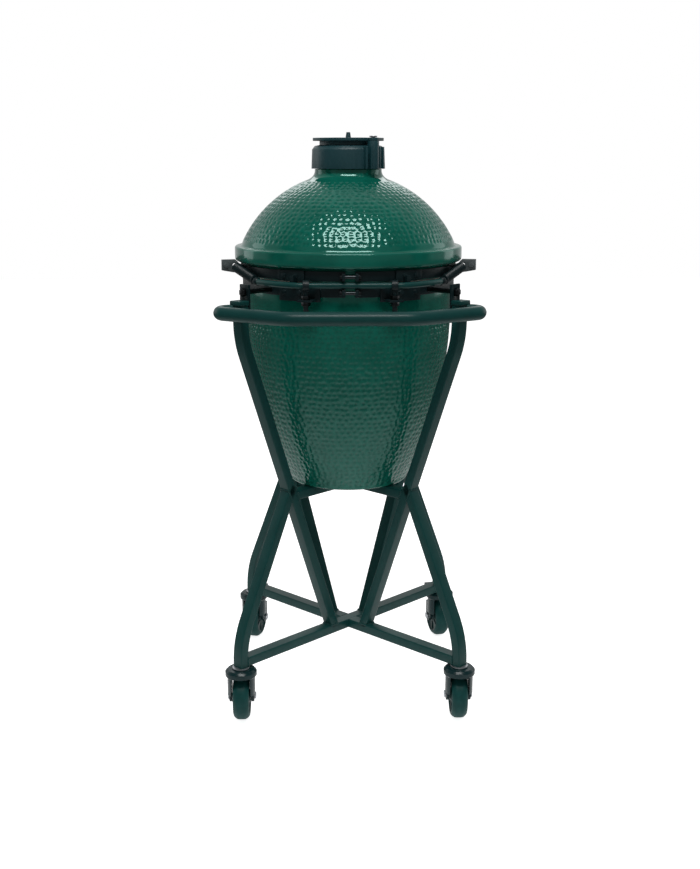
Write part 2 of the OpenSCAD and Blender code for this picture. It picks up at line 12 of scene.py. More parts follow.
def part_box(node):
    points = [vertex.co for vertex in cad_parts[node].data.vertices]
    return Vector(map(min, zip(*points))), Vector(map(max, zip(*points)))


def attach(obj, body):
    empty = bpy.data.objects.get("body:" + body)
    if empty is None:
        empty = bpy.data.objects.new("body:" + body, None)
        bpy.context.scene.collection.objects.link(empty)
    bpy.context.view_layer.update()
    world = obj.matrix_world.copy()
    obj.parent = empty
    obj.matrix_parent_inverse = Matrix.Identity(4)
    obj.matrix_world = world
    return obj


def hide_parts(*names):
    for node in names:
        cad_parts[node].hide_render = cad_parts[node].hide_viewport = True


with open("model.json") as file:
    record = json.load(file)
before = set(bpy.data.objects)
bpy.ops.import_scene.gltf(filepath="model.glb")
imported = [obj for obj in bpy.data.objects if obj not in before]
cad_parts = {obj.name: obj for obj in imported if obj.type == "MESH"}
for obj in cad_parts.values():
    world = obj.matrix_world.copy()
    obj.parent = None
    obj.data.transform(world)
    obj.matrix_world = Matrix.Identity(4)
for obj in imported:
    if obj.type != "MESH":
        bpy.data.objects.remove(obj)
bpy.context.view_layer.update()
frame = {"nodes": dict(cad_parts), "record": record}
NODES = frame["nodes"]
MM = 0.001
CORNERS = {"rear_left": 225, "rear_right": 315, "front_left": 135, "front_right": 45}
TOES = {"rear_left": 0, "rear_right": 0, "front_left": -13, "front_right": 13}


# ---------------------------------------------------------------- materials
class Shader:
    """A material with short calls for its nodes. Texture sizes are in object space, in metres."""

    def __init__(self, name, color, rough, metallic=0.0, **inputs):
        self.mat = bpy.data.materials.new(name)
        self.mat.use_nodes = True
        self.tree = self.mat.node_tree
        self.bsdf = self.tree.nodes["Principled BSDF"]
        self.coords = self.add("ShaderNodeTexCoord").outputs["Object"]
        self.set("Base Color", (*color, 1))
        self.set("Roughness", rough)
        self.set("Metallic", metallic)
        for key, value in inputs.items():
            self.set(key.replace("_", " "), value)

    def set(self, socket, value):
        self.bsdf.inputs[socket].default_value = value

    def add(self, kind, **props):
        node = self.tree.nodes.new(kind)
        for key, value in props.items():
            setattr(node, key, value)
        return node

    def link(self, source, target):
        self.tree.links.new(source, target)

    def stretched(self, scale):
        node = self.add("ShaderNodeMapping")
        node.inputs["Scale"].default_value = scale
        self.link(self.coords, node.inputs["Vector"])
        return node.outputs["Vector"]

    def noise(self, scale, detail=4.0, rough=0.55, stretch=(1, 1, 1)):
        node = self.add("ShaderNodeTexNoise")
        node.inputs["Scale"].default_value = scale
        node.inputs["Detail"].default_value = detail
        node.inputs["Roughness"].default_value = rough
        self.link(self.stretched(stretch), node.inputs["Vector"])
        return node.outputs["Fac"]

    def cells(self, scale):
        node = self.add("ShaderNodeTexVoronoi")
        node.inputs["Scale"].default_value = scale
        self.link(self.stretched((1, 1, 1)), node.inputs["Vector"])
        return node.outputs["Distance"]

    def attribute(self, name):
        return self.add("ShaderNodeAttribute", attribute_name=name).outputs["Fac"]

    def span(self, value, low, high, start=0.0, end=1.0):
        node = self.add("ShaderNodeMapRange")
        node.inputs["From Min"].default_value = start
        node.inputs["From Max"].default_value = end
        node.inputs["To Min"].default_value = low
        node.inputs["To Max"].default_value = high
        self.link(value, node.inputs["Value"])
        return node.outputs["Result"]

    def mix(self, factor, first, second):
        node = self.add("ShaderNodeMix", data_type="RGBA")
        self.link(factor, node.inputs["Factor"])
        for socket, value in (("A", first), ("B", second)):
            target = [s for s in node.inputs if s.name == socket and s.type == "RGBA"][0]
            if isinstance(value, tuple):
                target.default_value = (*value, 1)
            else:
                self.link(value, target)
        return [s for s in node.outputs if s.type == "RGBA"][0]

    def color(self, source):
        self.link(source, self.bsdf.inputs["Base Color"])

    def rough(self, source):
        self.link(source, self.bsdf.inputs["Roughness"])

    def bump(self, *layers):
        """Each layer is (height, strength, distance in metres)."""
        below = None
        for height, strength, distance in layers:
            node = self.add("ShaderNodeBump")
            node.inputs["Strength"].default_value = strength
            node.inputs["Distance"].default_value = distance
            self.link(height, node.inputs["Height"])
            if below:
                self.link(below, node.inputs["Normal"])
            below = node.outputs["Normal"]
        self.link(below, self.bsdf.inputs["Normal"])


def green_glaze():
    """Glossy glaze. The pit attribute is 0 to 1 in a dimple, and -1 where the clay is bare."""
    s = Shader("glaze_green", (0.004, 0.105, 0.072), 0.09, IOR=1.58, Specular_Tint=(0.62, 1.0, 0.92, 1))
    patches = s.span(s.noise(14, 3), 0, 1, 0.35, 0.65)
    body = s.mix(patches, (0.0030, 0.096, 0.067), (0.0045, 0.122, 0.086))
    # the glaze colour is darker in the dimples, deepest at each pit's centre
    dimple_darkened = s.mix(s.attribute("pit"), body, (0.0025, 0.092, 0.064))
    bare = s.span(s.attribute("pit"), 1, 0, -1, 0)
    s.color(s.mix(bare, dimple_darkened, (0.58, 0.53, 0.45)))
    dull = s.add("ShaderNodeMath", operation="MULTIPLY_ADD")
    dull.inputs[1].default_value = 0.75
    s.link(bare, dull.inputs[0])
    s.link(s.span(s.noise(60, 4), 0.06, 0.13), dull.inputs[2])
    s.rough(dull.outputs[0])
    s.bump((s.noise(170, 2), 0.10, 0.0006), (s.noise(700, 3), 0.05, 0.0002))
    return s.mat


def powder_coat(name, dark, light, rough, specular=0.5):
    """Satin paint with a fine orange peel and slightly uneven gloss."""
    s = Shader(name, dark, rough, Specular_IOR_Level=specular)
    s.color(s.mix(s.span(s.noise(22, 4), 0, 1, 0.3, 0.7), dark, light))
    s.rough(s.span(s.noise(110, 5), rough - 0.06, rough + 0.08))
    s.bump((s.noise(900, 2), 0.16, 0.00025), (s.noise(150, 2), 0.06, 0.0006))
    return s.mat


def plated_steel(name, color, rough, stretch=(1, 1, 1)):
    """Zinc-plated or brushed steel, with spangle and fine lines along one axis."""
    s = Shader(name, color, rough, metallic=1.0)
    worn = tuple(c * 0.72 for c in color)
    s.color(s.mix(s.span(s.noise(90, 5), 0, 1, 0.35, 0.7), color, worn))
    s.rough(s.span(s.noise(420, 4, 0.6, stretch), rough - 0.08, rough + 0.14))
    s.bump((s.noise(1500, 3, 0.6, stretch), 0.14, 0.0001))
    return s.mat


def cast_metal(name, dark, light, rough):
    s = Shader(name, dark, rough)
    s.color(s.mix(s.span(s.noise(35, 6), 0, 1, 0.3, 0.7), dark, light))
    s.rough(s.span(s.noise(200, 4), rough - 0.08, rough + 0.12))
    s.bump((s.noise(650, 4), 0.32, 0.0005), (s.cells(420), 0.10, 0.0003))
    return s.mat


def fire_clay():
    s = Shader("fire_clay", (0.50, 0.38, 0.26), 0.88)
    soot = s.span(s.noise(9, 6), 0, 1, 0.45, 0.72)
    s.color(s.mix(soot, (0.52, 0.40, 0.28), (0.20, 0.15, 0.11)))
    s.bump((s.noise(240, 6), 0.5, 0.0012), (s.cells(150), 0.2, 0.001))
    return s.mat


def felt():
    s = Shader("gasket_felt", (0.55, 0.53, 0.47), 0.95, Sheen_Weight=0.4)
    s.color(s.mix(s.noise(300, 6), (0.46, 0.44, 0.39), (0.68, 0.66, 0.60)))
    s.bump((s.noise(1400, 6, 0.7), 0.7, 0.0006), (s.cells(900), 0.3, 0.0005))
    return s.mat


def rubber(name, color, rough, specular=0.25):
    s = Shader(name, color, rough, Specular_IOR_Level=specular)
    dust = tuple(c * 1.25 + 0.001 for c in color)
    s.color(s.mix(s.span(s.noise(70, 6), 0, 1, 0.45, 0.75), color, dust))
    s.rough(s.span(s.noise(180, 4), rough - 0.08, rough + 0.10))
    s.bump((s.noise(1300, 4), 0.25, 0.0003))
    return s.mat


def oiled_wood():
    """Turned hardwood with its grain along X."""
    s = Shader("grip_wood", (0.22, 0.10, 0.04), 0.42, Coat_Weight=0.25, Coat_Roughness=0.25)
    rings = s.noise(60, 8, 0.6, (0.10, 1.3, 1.3))
    fibre = s.noise(420, 6, 0.65, (0.05, 1, 1))
    grain = s.mix(s.span(rings, 0, 1, 0.35, 0.65), (0.13, 0.055, 0.022), (0.33, 0.17, 0.075))
    s.color(s.mix(s.span(fibre, 0, 0.5, 0.4, 0.8), grain, (0.06, 0.025, 0.012)))
    s.rough(s.span(fibre, 0.36, 0.55))
    s.bump((fibre, 0.25, 0.0003), (rings, 0.08, 0.0004))
    return s.mat


def enamel(name, color):
    s = Shader(name, color, 0.3)
    s.color(s.mix(s.noise(80, 4), color, tuple(c * 0.9 for c in color)))
    s.bump((s.noise(800, 2), 0.05, 0.0001))
    return s.mat


GLAZE = green_glaze()
PAINT = powder_coat("stand_powder_coat", (0.0042, 0.0440, 0.0410), (0.0060, 0.0520, 0.0485),
                    0.34, specular=0.22)
BAND_PAINT = powder_coat("band_powder_coat", (0.0030, 0.0110, 0.0130), (0.0045, 0.0150, 0.0170),
                         0.40, specular=0.3)
LUG_PAINT = powder_coat("lug_coat", (0.050, 0.062, 0.064), (0.085, 0.100, 0.102), 0.38)
CASTER_METAL = powder_coat("caster_gloss_paint", (0.0038, 0.0220, 0.0245), (0.0055, 0.0270, 0.0300),
                           0.24, specular=0.26)
VENT_IRON = cast_metal("vent_cast_iron", (0.0060, 0.0400, 0.0480), (0.0085, 0.0480, 0.0570), 0.38)
GRATE_IRON = cast_metal("grate_cast_iron", (0.020, 0.019, 0.018), (0.050, 0.040, 0.034), 0.62)
ZINC = plated_steel("zinc_steel", (0.55, 0.57, 0.60), 0.32)
BLACK_ZINC = plated_steel("black_zinc_steel", (0.050, 0.056, 0.060), 0.30)
BRUSHED = plated_steel("brushed_stainless", (0.58, 0.58, 0.57), 0.30, (0.04, 1, 1))
CLAY = fire_clay()
FELT = felt()
TYRE = rubber("wheel_tread", (0.0035, 0.0470, 0.0440), 0.46, 0.18)
HUB = rubber("wheel_hub_nylon", (0.0045, 0.0300, 0.0300), 0.34)
WOOD = oiled_wood()
DIAL = enamel("dial_enamel", (0.78, 0.77, 0.73))
DIAL_INK = enamel("dial_ink", (0.02, 0.02, 0.02))
NEEDLE = enamel("needle_red", (0.45, 0.02, 0.015))


# ---------------------------------------------------------------- mesh tools
def piece(name, verts, faces, material, body, slot, replaced=(), smooth=35, pits=None):
    """A mesh object from points in the frame, riding on a CAD body."""
    mesh = bpy.data.meshes.new(name)
    mesh.from_pydata([tuple(v) for v in verts], [], [tuple(f) for f in faces])
    mesh.validate()
    if pits is not None:
        mesh.attributes.new("pit", "FLOAT", "POINT").data.foreach_set("value", pits)
    tidy_normals(mesh)
    mesh.materials.append(material)
    obj = bpy.data.objects.new(name, mesh)
    bpy.context.scene.collection.objects.link(obj)
    shade(mesh, smooth)
    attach(obj, body)
    if replaced:
        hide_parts(*replaced)
    return obj


def tidy_normals(mesh):
    bm = bmesh.new()
    bm.from_mesh(mesh)
    bmesh.ops.recalc_face_normals(bm, faces=bm.faces)
    bm.to_mesh(mesh)
    bm.free()


def shade(mesh, degrees):
    mesh.polygons.foreach_set("use_smooth", [True] * len(mesh.polygons))
    if degrees < 180:
        mesh.set_sharp_from_angle(angle=math.radians(degrees))
    mesh.update()


def joined(parts):
    """One (verts, faces) from several."""
    verts, faces = [], []
    for part_verts, part_faces in parts:
        start = len(verts)
        verts += list(part_verts)
        faces += [[i + start for i in f] for f in part_faces]
    return verts, faces


def moved(part, matrix):
    return [matrix @ Vector(v) for v in part[0]], part[1]


def loft(rings, closed_ring=True, caps=True):
    """Faces between rings of equal length."""
    count = len(rings[0])
    verts = [p for ring in rings for p in ring]
    faces = []
    sides = count if closed_ring else count - 1
    for i in range(len(rings) - 1):
        for k in range(sides):
            a, b = i * count + k, i * count + (k + 1) % count
            faces.append([a, b, b + count, a + count])
    if caps and closed_ring:
        faces.append(list(range(count)))
        faces.append([len(verts) - count + k for k in range(count)])
    return verts, faces


def lathe(profile, segments=96, closed=True):
    """A closed outline of (radius, height) points turned about Z."""
    rings = []
    for k in range(segments):
        a = 2 * math.pi * k / segments
        rings.append([(r * math.cos(a), r * math.sin(a), z) for r, z in profile])
    verts, faces = loft(rings, closed, False)
    count, last = len(profile), (segments - 1) * len(profile)
    for k in range(count if closed else count - 1):
        a, b = last + k, last + (k + 1) % count
        faces.append([a, b, (k + 1) % count, k])
    return verts, faces


def rounded(points, radius, steps=4):
    """A closed outline with its corners rounded. radius is one number or one for each point."""
    out = []
    n = len(points)
    for i in range(n):
        r = radius if isinstance(radius, (int, float)) else radius[i]
        p, a, b = Vector(points[i]), Vector(points[i - 1]), Vector(points[(i + 1) % n])
        u, v = (a - p), (b - p)
        reach = min(r, u.length * 0.45, v.length * 0.45)
        if reach < 1e-6:
            out.append(tuple(p))
            continue
        start, end = p + u.normalized() * reach, p + v.normalized() * reach
        for k in range(steps + 1):
            t = k / steps
            out.append(tuple(start * (1 - t) ** 2 + p * 2 * t * (1 - t) + end * t * t))
    return out


def circle(radius, sides=32):
    return [(radius * math.cos(2 * math.pi * k / sides), radius * math.sin(2 * math.pi * k / sides))
            for k in range(sides)]


def sweep(path, section, side):
    """Carries a closed section along a flat path. side is the unit vector across the path's plane."""
    rings = []
    for i, p in enumerate(path):
        before, after = path[max(i - 1, 0)], path[min(i + 1, len(path) - 1)]
        forward = (after - before).normalized()
        up = side.cross(forward)
        rings.append([p + side * a + up * b for a, b in section])
    return loft(rings)


def arc(centre, radius, start, end, steps):
    return [(centre[0] + radius * math.cos(math.radians(start + (end - start) * k / steps)),
             centre[1] + radius * math.sin(math.radians(start + (end - start) * k / steps)))
            for k in range(steps + 1)]


def flat_path(start, heading, moves, step=6):
    """Points along (straight length, turn, bend radius) moves in the XY plane, in millimetres."""
    x, y = start
    h = math.radians(heading)
    points = [(x, y)]
    for run, turn, bend in moves:
        if run:
            x, y = x + run * math.cos(h), y + run * math.sin(h)
            points.append((x, y))
        if turn:
            cx, cy = x - bend * math.sin(h), y + bend * math.cos(h)
            count = math.ceil(turn / step)
            for k in range(1, count + 1):
                a = h + math.radians(turn * k / count)
                points.append((cx + bend * math.sin(a), cy - bend * math.cos(a)))
            h += math.radians(turn)
            x, y = points[-1]
    return points


def refined(node, material, slot, bevel, segments=2):
    """A CAD node's own shape with its edges broken by a small bevel."""
    source = NODES[node].data
    bm = bmesh.new()
    bm.from_mesh(source)
    bmesh.ops.remove_doubles(bm, verts=bm.verts, dist=1e-5)
    bmesh.ops.dissolve_limit(bm, angle_limit=math.radians(1.5), verts=bm.verts, edges=bm.edges)
    verts = [v.co.copy() for v in bm.verts]
    faces = [[v.index for v in f.verts] for f in bm.faces]
    bm.free()
    obj = piece("fine_" + node, verts, faces, material, body_of(node), slot, (node,))
    cut = obj.modifiers.new("edges", "BEVEL")
    cut.width = bevel * MM
    cut.segments = segments
    cut.limit_method = "ANGLE"
    cut.angle_limit = math.radians(32)
    cut.use_clamp_overlap = True
    shape = bpy.data.meshes.new_from_object(obj.evaluated_get(bpy.context.evaluated_depsgraph_get()))
    obj.modifiers.clear()
    old, obj.data = obj.data, shape
    bpy.data.meshes.remove(old)
    shade(obj.data, 40)
    return obj


def body_of(node):
    bodies = frame["record"]["behaviour"]["bodies"]
    return next(b for b, members in bodies.items() if node in members)


def coat(node, material):
    """Gives a CAD node whose shape is right its material."""
    data = NODES[node].data
    data.materials.clear()
    data.materials.append(material)


# ---------------------------------------------------------------- camera, light and floor
def make_camera():
    """The photograph's view: from behind, 13 degrees down, a little left of the centre line."""
    heading, pitch, height = math.radians(-1.08), math.radians(13.006), 1.169
    camera = bpy.data.cameras.new("camera")
    camera.lens = 50.43
    camera.sensor_width = 36
    camera.clip_end = 60
    obj = bpy.data.objects.new("camera", camera)
    bpy.context.scene.collection.objects.link(obj)
    distance, aside = 2.609, math.radians(1.0)
    obj.location = (-distance * math.sin(aside), -distance * math.cos(aside), height)
    obj.rotation_euler = (math.pi / 2 - pitch, 0, heading)
    bpy.context.scene.camera = obj


def area_light(name, at, target, size, radiance):
    light = bpy.data.lights.new(name, "AREA")
    light.shape = "RECTANGLE"
    light.size, light.size_y = size
    light.energy = radiance * math.pi * size[0] * size[1]
    obj = bpy.data.objects.new(name, light)
    obj.location = at
    obj.rotation_euler = (Vector(target) - Vector(at)).to_track_quat("-Z", "Y").to_euler()
    bpy.context.scene.collection.objects.link(obj)
    return obj


def make_light():
    """A pale studio: a grey card behind the camera, black flags beside it, white beyond the object,
    one softbox above the camera, and fills that don't show in reflections."""
    world = bpy.data.worlds.new("studio")
    bpy.context.scene.world = world
    world.use_nodes = True
    tree = world.node_tree
    tree.nodes.clear()

    def add(kind, **props):
        node = tree.nodes.new(kind)
        for key, value in props.items():
            setattr(node, key, value)
        return node

    coords = add("ShaderNodeTexCoord")
    split = add("ShaderNodeSeparateXYZ")
    tree.links.new(coords.outputs["Generated"], split.inputs[0])
    flip = add("ShaderNodeMath", operation="MULTIPLY")
    flip.inputs[1].default_value = -1
    tree.links.new(split.outputs["Y"], flip.inputs[0])
    side = add("ShaderNodeMath", operation="ABSOLUTE")
    tree.links.new(split.outputs["X"], side.inputs[0])
    angle = add("ShaderNodeMath", operation="ARCTAN2")
    tree.links.new(side.outputs[0], angle.inputs[0])
    tree.links.new(flip.outputs[0], angle.inputs[1])
    scaled = add("ShaderNodeMath", operation="DIVIDE")
    scaled.inputs[1].default_value = math.pi
    tree.links.new(angle.outputs[0], scaled.inputs[0])
    ramp = add("ShaderNodeValToRGB")
    tree.links.new(scaled.outputs[0], ramp.inputs[0])
    # brightness by azimuth from the camera's side, as a share of half a turn
    stops = [(0.0, 0.17), (0.34, 0.19), (0.375, 0.02), (0.46, 0.02), (0.50, 0.27), (0.72, 0.44),
             (0.9, 0.6)]
    ramp.color_ramp.elements[0].position = stops[0][0]
    ramp.color_ramp.elements[1].position = stops[-1][0]
    for place, _ in stops[1:-1]:
        ramp.color_ramp.elements.new(place)
    for element, (_, value) in zip(ramp.color_ramp.elements, stops):
        element.color = (value, value, value, 1)
    seen = add("ShaderNodeBackground")
    seen.inputs["Color"].default_value = (1, 1, 1, 1)
    lit = add("ShaderNodeBackground")
    tree.links.new(ramp.outputs["Color"], lit.inputs["Color"])
    path = add("ShaderNodeLightPath")
    both = add("ShaderNodeMixShader")
    tree.links.new(path.outputs["Is Camera Ray"], both.inputs[0])
    tree.links.new(lit.outputs[0], both.inputs[1])
    tree.links.new(seen.outputs[0], both.inputs[2])
    out = add("ShaderNodeOutputWorld")
    tree.links.new(both.outputs[0], out.inputs[0])

    focus = Vector((0, 0, 1.0))
    elevation = math.radians(57)
    away = Vector((0, -math.cos(elevation), math.sin(elevation)))
    area_light("softbox_top", focus + away * 3.0, focus, (2.0, 0.85), 11.8)
    fill = area_light("fill_low", (0, -3.2, 0.55), (0, 0, 0.6), (2.4, 1.0), 0.8)
    fill.visible_glossy = False
    for name, x in (("fill_left", -2.6), ("fill_right", 2.6)):
        fill = area_light(name, (x, 0.0, 0.9), (0, 0, 0.8), (1.4, 2.0), 0.95)
        fill.visible_glossy = False
    area_light("softbox_left", (-2.6, 1.3, 1.5), (0, 0, 0.8), (1.0, 1.8), 0.9)
    area_light("softbox_right", (2.6, 1.3, 1.5), (0, 0, 0.8), (1.0, 1.8), 0.9)
    area_light("softbox_back", (0, 2.8, 2.6), (0, 0, 0.7), (2.6, 1.2), 1.5)


def make_floor():
    """A floor that the camera sees as near white. Reflections and bounced light see a painted pool of
    light on it: a painted colour and a painted glow, bright near the object and dark further off, as on a
    lit table in a dark room."""
    half = 9.0
    near, far = 0.35, 1.7
    mesh = bpy.data.meshes.new("floor")
    corners = [(-half, -half, 0), (half, -half, 0), (half, half, 0), (-half, half, 0)]
    mesh.from_pydata(corners, [], [(0, 1, 2, 3)])
    s = Shader("floor_white", (0.93, 0.93, 0.93), 0.7, Emission_Color=(1, 1, 1, 1),
               Emission_Strength=0.85)
    s.color(s.mix(s.noise(3, 2), (0.92, 0.92, 0.92), (0.95, 0.95, 0.95)))
    # painted pool of light: for reflected and bounced rays the floor's colour falls from bright near the
    # object to dark further off
    painted_light_pool = s.add("ShaderNodeBsdfDiffuse")
    distance = s.add("ShaderNodeVectorMath", operation="LENGTH")
    s.link(s.coords, distance.inputs[0])
    s.link(s.span(distance.outputs["Value"], 0.90, 0.22, near, far), painted_light_pool.inputs["Color"])
    # painted glow on the floor near the object, fading to nothing further off
    painted_glow = s.add("ShaderNodeEmission")
    s.link(s.span(distance.outputs["Value"], 0.32, 0.0, near, far), painted_glow.inputs["Strength"])
    painted_floor_light = s.add("ShaderNodeAddShader")
    s.link(painted_light_pool.outputs[0], painted_floor_light.inputs[0])
    s.link(painted_glow.outputs[0], painted_floor_light.inputs[1])
    both = s.add("ShaderNodeMixShader")
    s.link(s.add("ShaderNodeLightPath").outputs["Is Camera Ray"], both.inputs[0])
    s.link(painted_floor_light.outputs[0], both.inputs[1])
    s.link(s.bsdf.outputs[0], both.inputs[2])
    s.link(both.outputs[0], s.tree.nodes["Material Output"].inputs["Surface"])
    mesh.materials.append(s.mat)
    obj = bpy.data.objects.new("floor", mesh)
    bpy.context.scene.collection.objects.link(obj)


# ---------------------------------------------------------------- dimpled ceramic
PITCH = 12.6
PIT_R = 5.7
PIT_DEPTH = 1.3
DOME_SEGMENTS, BASE_SEGMENTS = 600, 560
UNGLAZED = -1


def dimples(run, around, radius_at, seed, margin=(6, 6)):
    """Depths from 0 to 1 for a grid of points. run is each row's distance along the wall in
    millimetres, around the azimuths in radians, and radius_at the row radii. Pits sit in loose
    staggered rows."""
    rng = np.random.default_rng(seed)
    row_gap = PITCH * 0.84
    first, last = run[0] + margin[0], run[-1] - margin[1]
    depth = np.zeros((len(run), len(around)))
    rows = int((last - first) / row_gap)
    for row in range(rows + 1):
        place = first + row * row_gap
        radius = np.interp(place, run, radius_at)
        count = max(6, round(2 * math.pi * radius / PITCH))
        step = 2 * math.pi / count
        shift = rng.uniform(0, step)
        nudge_u = rng.normal(0, 0.13, count) * step
        nudge_v = rng.normal(0, 1.1, count)
        size = PIT_R * rng.uniform(0.82, 1.12, count)
        near = np.abs(run - place) < PIT_R + 5
        index = np.round((around - shift) / step).astype(int)
        for extra in (-1, 0, 1):
            k = (index + extra) % count
            centre = (index + extra) * step + shift + nudge_u[k]
            du = (around - centre)[None, :] * np.asarray(radius_at)[near][:, None]
            dv = run[near][:, None] - place - nudge_v[k][None, :]
            ratio = (du * du + dv * dv) / (size[k] ** 2)[None, :]
            bowl = np.clip(1 - ratio, 0, 1) ** 1.45
            depth[near] = np.maximum(depth[near], bowl)
    return depth


def ceramic(profile, dimpled, segments, seed, margin=(6, 6)):
    """A closed outline of (radius, height) in millimetres turned about Z, with pits pressed into
    the points from dimpled[0] to dimpled[1]. Returns verts, faces and the pit attribute."""
    pts = np.array(profile)
    first, last = dimpled
    part = pts[first:last]
    run = np.concatenate([[0], np.cumsum(np.linalg.norm(np.diff(part, axis=0), axis=1))])
    around = np.arange(segments) * 2 * math.pi / segments
    tangent = np.gradient(part, axis=0)
    tangent /= np.linalg.norm(tangent, axis=1)[:, None]
    inward = np.stack([-tangent[:, 1], tangent[:, 0]], axis=1)
    inward *= np.where(inward[:, 0] > 0, -1, 1)[:, None]
    depth = dimples(run, around, part[:, 0], seed, margin)
    wobble = 0.25 * np.sin(around * 3 + 1.0)[None, :] * np.sin(run / 60)[:, None]
    grid = np.repeat(pts[:, None, :], segments, axis=1)
    sunk = depth * PIT_DEPTH + np.abs(wobble) * np.sin(np.pi * run / run[-1])[:, None]
    grid[first:last] += inward[:, None, :] * sunk[:, :, None]
    pit = np.zeros((len(pts), segments))
    pit[first:last] = depth
    x = grid[:, :, 0] * np.cos(around)[None, :]
    y = grid[:, :, 0] * np.sin(around)[None, :]
    verts = np.stack([x, y, grid[:, :, 1]], axis=2).reshape(-1, 3) * MM
    rows = len(pts)
    i, k = np.meshgrid(np.arange(rows), np.arange(segments), indexing="ij")
    j, n = (i + 1) % rows, (k + 1) % segments
    corners = [i * segments + k, i * segments + n, j * segments + n, j * segments + k]
    faces = np.stack(corners, axis=2)
    return verts, faces.reshape(-1, 4), pit.reshape(-1)


def resampled(points, spacing):
    """Points at an even spacing along a polyline."""
    pts = np.array(points)
    along = np.concatenate([[0], np.cumsum(np.linalg.norm(np.diff(pts, axis=0), axis=1))])
    count = max(2, int(along[-1] / spacing))
    at = np.linspace(0, along[-1], count + 1)
    return [tuple(float(np.interp(t, along, pts[:, axis])) for axis in (0, 1)) for t in at]


GRID = 2.4
DOME_R, DOME_Z, LIP_R, LIP_Z, LIP_H, WALL = 246.5, 884.0, 240.0, 950.0, 30.0, 24.0
SKIRT_R, LID_Z, NECK_R, NECK_Z = 222.0, 922.0, 70.0, 1137.0
CHIMNEY_R, SPIGOT_R, SPIGOT_Z = 48.0, 63.0, 1155.0
COLLAR_R, COLLAR_Z, RIM_Z, BASE_Z, BASE_ARC = 218.5, 850.0, 918.0, 474.0, 810.0


def wall_r(z):
    """The base's outer radius: upright above COLLAR_Z, on one long arc below it."""
    if z > COLLAR_Z:
        return COLLAR_R
    return COLLAR_R - BASE_ARC + math.sqrt(BASE_ARC ** 2 - (COLLAR_Z - z) ** 2)


def eased(start, bend, end, steps):
    """Points on the curve that leaves start towards bend and reaches end from it."""
    a, b, c = Vector(start), Vector(bend), Vector(end)
    return [tuple(a * (1 - t) ** 2 + b * 2 * t * (1 - t) + c * t * t) for t in steps]


def make_lid():
    lip_angle = math.degrees(math.asin((LIP_Z + LIP_H - DOME_Z) / DOME_R))
    flare_angle = math.degrees(math.acos((NECK_R + 18) / DOME_R))
    neck_foot = DOME_Z + math.sqrt(DOME_R ** 2 - NECK_R ** 2)
    inner = DOME_R - WALL
    edge = rounded([(SKIRT_R - WALL, LID_Z), (SKIRT_R, LID_Z), (SKIRT_R, LIP_Z - 3), (LIP_R, LIP_Z),
                    (LIP_R, LIP_Z + LIP_H),
                    (DOME_R * math.cos(math.radians(lip_angle)) + 1, LIP_Z + LIP_H)],
                   [3, 3, 4, 7, 12, 0], 6)
    rise = arc((0, DOME_Z), DOME_R, lip_angle + 2.6, flare_angle, 60)
    crook = (edge[-1][0] - 2.5, edge[-1][1] + 1.0)
    edge += eased(edge[-1], crook, rise[0], (0.25, 0.5, 0.75))
    dome = resampled(rise, GRID)
    flare = eased(dome[-1], (NECK_R, neck_foot), (NECK_R, NECK_Z - 2), np.linspace(0.08, 1, 12))
    neck = flare + rounded([(NECK_R, NECK_Z - 1.8), (NECK_R, NECK_Z), (SPIGOT_R, NECK_Z),
                            (SPIGOT_R, SPIGOT_Z), (CHIMNEY_R, SPIGOT_Z)], [0, 1, 1, 2, 3], 3)
    roof = arc((0, DOME_Z), inner, math.degrees(math.acos(CHIMNEY_R / inner)), 19, 22)
    profile = edge + dome + neck + roof
    dimpled = (len(edge), len(edge) + len(dome))
    verts, faces, pits = ceramic(profile, dimpled, DOME_SEGMENTS, 11, (7, 7))
    pits[-len(roof) * DOME_SEGMENTS:] = UNGLAZED
    piece("lid_ceramic", verts, faces, GLAZE, "lid", "green_glaze", ("lid_shell",), 180, pits)


def make_base():
    floor = BASE_Z + 26
    edge = 8
    door_half, door_low, door_high = 50, 514, 566
    bottom = arc((wall_r(BASE_Z + edge) - edge, BASE_Z + edge), edge, -90, -12, 6)
    heights = np.linspace(BASE_Z + edge, 846, 90)
    side = resampled([(wall_r(z), z) for z in heights], GRID)
    collar = rounded([(wall_r(847) - 1.6, 847.2), (COLLAR_R, 849.5), (COLLAR_R, RIM_Z),
                      (COLLAR_R - WALL, RIM_Z)], [1, 2, 3, 3], 4)
    inside = [(wall_r(z) - WALL, z) for z in np.linspace(848, floor, 14)]
    profile = [(1.0, BASE_Z), (60.0, BASE_Z)] + bottom + side + collar + inside + [(1.0, floor)]
    first = 2 + len(bottom)
    verts, faces, pits = ceramic(profile, (first, first + len(side)), BASE_SEGMENTS, 23, (4, 8))
    pits[-(len(inside) + 1) * BASE_SEGMENTS:] = UNGLAZED
    x, y, z = (verts[faces].mean(axis=1) / MM).T
    hole = (np.abs(x) < door_half) & (y > 0) & (z > door_low) & (z < door_high)
    piece("base_ceramic", verts, faces[~hole], GLAZE, "stand", "green_glaze", ("base_shell",), 180, pits)


def make_draft_surround():
    """The flat ceramic boss round the draft opening."""
    def loop(half, low, high, y, radius):
        outline = rounded([(-half, low), (half, low), (half, high), (-half, high)], radius, 5)
        return [(x * MM, y * MM, z * MM) for x, z in outline]

    rings = [loop(44, 519, 561, 112, 2), loop(44, 519, 561, 170.5, 2), loop(45.5, 517.5, 562.5, 172, 3),
             loop(72.5, 507.5, 570.5, 172, 4), loop(76, 504, 574, 168.5, 6), loop(76, 504, 574, 118, 6)]
    verts, faces = loft(rings, True, False)
    piece("draft_surround", verts, faces, GLAZE, "stand", "green_glaze", (), 60, [0.0] * len(verts))


